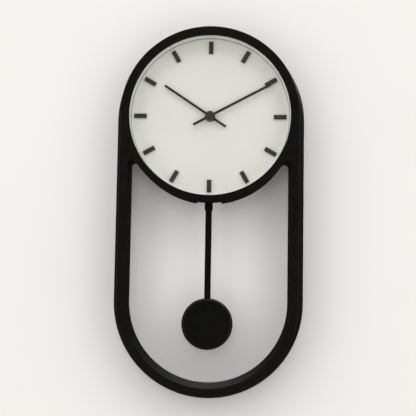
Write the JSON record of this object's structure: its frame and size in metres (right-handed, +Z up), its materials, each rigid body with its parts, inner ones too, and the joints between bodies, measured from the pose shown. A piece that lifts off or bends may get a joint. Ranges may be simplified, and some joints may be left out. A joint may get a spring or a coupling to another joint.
{
  "type": "pendulum wall clock",
  "caption": "Pill-shaped black wall clock: round white dial with baton markers and slim hands over an open window, where a flat rod and round bob swing.",
  "frame": {"origin": "middle of the keyhole's round hole, on the wall plane", "axes": "+Z up, -Y out of the wall towards the viewer, +X to the viewer's right"},
  "size_m": [0.304, 0.056, 0.5978],
  "materials": {
    "case_black": "satin black moulded plastic, very fine texture",
    "lens_clear": "clear flat lens",
    "spacer_white": "smooth white plastic",
    "dial_white": "warm off-white, matte and slightly grained",
    "marker_grey": "dark grey, satin",
    "hand_grey": "dark grey lacquer, satin",
    "cap_grey": "dark grey, satin",
    "brass": "machined brass",
    "rubber": "black rubber",
    "housing_black": "fine spark-eroded black plastic",
    "knob_black": "black plastic, fluted",
    "gear_plastic": "natural acetal",
    "bobbin_plastic": "amber plastic",
    "board_green": "green solder mask",
    "chip_resin": "black resin blob",
    "copper": "enamelled copper wire",
    "magnet": "dark sintered magnet",
    "steel": "zinc plated steel",
    "spring_steel": "bright nickel plated steel",
    "battery_jacket": "printed-colour plastic jacket, plain",
    "pendulum_black": "satin black lacquer on steel strip",
    "bob_black": "satin black",
    "cover_black": "matte black"
  },
  "bodies": {
    "root": {"case": "case_black", "lens": "lens_clear", "spacer_ring": "spacer_white", "dial_plate": "dial_white", "hour_markers": "marker_grey", "dial_screws": "steel", "bush_nut": "brass", "bush_washer": "brass", "gasket": "rubber", "threaded_bush": "brass", "movement_front": "housing_black", "movement_back": "housing_black", "stator": "steel", "coil_core": "steel", "coil_bobbin": "bobbin_plastic", "motor_coil": "copper", "circuit_board": "board_green", "quartz_crystal": "spring_steel", "chip": "chip_resin", "battery": "battery_jacket", "positive_contact": "spring_steel", "negative_contact": "spring_steel", "drive_coil": "copper", "lever_pin": "spring_steel"},
    "minute_arbor": {"minute_shaft": "brass", "clutch_spring": "spring_steel", "minute_hand": "hand_grey", "hand_cap": "cap_grey"},
    "hour_arbor": {"hour_wheel": "gear_plastic", "hour_hand": "hand_grey"},
    "minute_wheel": {"minute_wheel": "gear_plastic"},
    "setting_knob": {"setting_knob": "knob_black"},
    "centre_wheel": {"centre_wheel": "gear_plastic"},
    "third_wheel": {"third_wheel": "gear_plastic"},
    "second_wheel": {"second_wheel": "gear_plastic"},
    "intermediate_wheel": {"intermediate_wheel": "gear_plastic"},
    "rotor": {"rotor": "gear_plastic", "rotor_magnet": "magnet"},
    "pendulum": {"drive_lever": "gear_plastic", "drive_magnet": "magnet", "pendulum_hanger": "pendulum_black", "hanger_rivet": "pendulum_black", "pendulum_rod": "pendulum_black", "bob_front": "bob_black", "bob_cover": "cover_black", "bob_screw": "steel"}
  },
  "joints": [
    {"name": "minute_hand_turn", "type": "hinge", "parent": "root", "child": "minute_arbor", "pos_m": [0, -0.043, -0.128], "axis": [0, 1, 0], "continuous": true},
    {"name": "hour_hand_turn", "type": "hinge", "parent": "root", "child": "hour_arbor", "pos_m": [0, -0.041, -0.128], "axis": [0, 1, 0], "continuous": true},
    {"name": "minute_wheel_turn", "type": "hinge", "parent": "root", "child": "minute_wheel", "pos_m": [0.01182, -0.03, -0.12592], "axis": [0, 1, 0], "continuous": true},
    {"name": "setting_knob_turn", "type": "hinge", "parent": "root", "child": "setting_knob", "pos_m": [0.01782, -0.03, -0.11552], "axis": [0, 1, 0], "continuous": true},
    {"name": "second_wheel_turn", "type": "hinge", "parent": "root", "child": "second_wheel", "pos_m": [0.0024, -0.025, -0.11483], "axis": [0, 1, 0], "continuous": true},
    {"name": "centre_wheel_turn", "type": "hinge", "parent": "root", "child": "centre_wheel", "pos_m": [0, -0.029, -0.128], "axis": [0, 1, 0], "continuous": true},
    {"name": "third_wheel_turn", "type": "hinge", "parent": "root", "child": "third_wheel", "pos_m": [-0.00902, -0.027, -0.11898], "axis": [0, 1, 0], "continuous": true},
    {"name": "intermediate_wheel_turn", "type": "hinge", "parent": "root", "child": "intermediate_wheel", "pos_m": [0.01059, -0.024, -0.1101], "axis": [0, 1, 0], "continuous": true},
    {"name": "rotor_turn", "type": "hinge", "parent": "root", "child": "rotor", "pos_m": [0.0182, -0.024, -0.10733], "axis": [0, 1, 0], "continuous": true},
    {"name": "pendulum_swing", "type": "hinge", "parent": "root", "child": "pendulum", "pos_m": [0, -0.03, -0.1615], "axis": [0, 1, 0], "range_deg": [-6, 6]}
  ],
  "couplings": [
    {"joint": "hour_hand_turn", "follows": "minute_hand_turn", "ratio": 0.083333},
    {"joint": "minute_wheel_turn", "follows": "minute_hand_turn", "ratio": -0.33333},
    {"joint": "setting_knob_turn", "follows": "minute_hand_turn", "ratio": 1},
    {"joint": "third_wheel_turn", "follows": "second_wheel_turn", "ratio": -0.125},
    {"joint": "centre_wheel_turn", "follows": "second_wheel_turn", "ratio": 0.016667},
    {"joint": "intermediate_wheel_turn", "follows": "second_wheel_turn", "ratio": -6},
    {"joint": "rotor_turn", "follows": "second_wheel_turn", "ratio": 30}
  ]
}
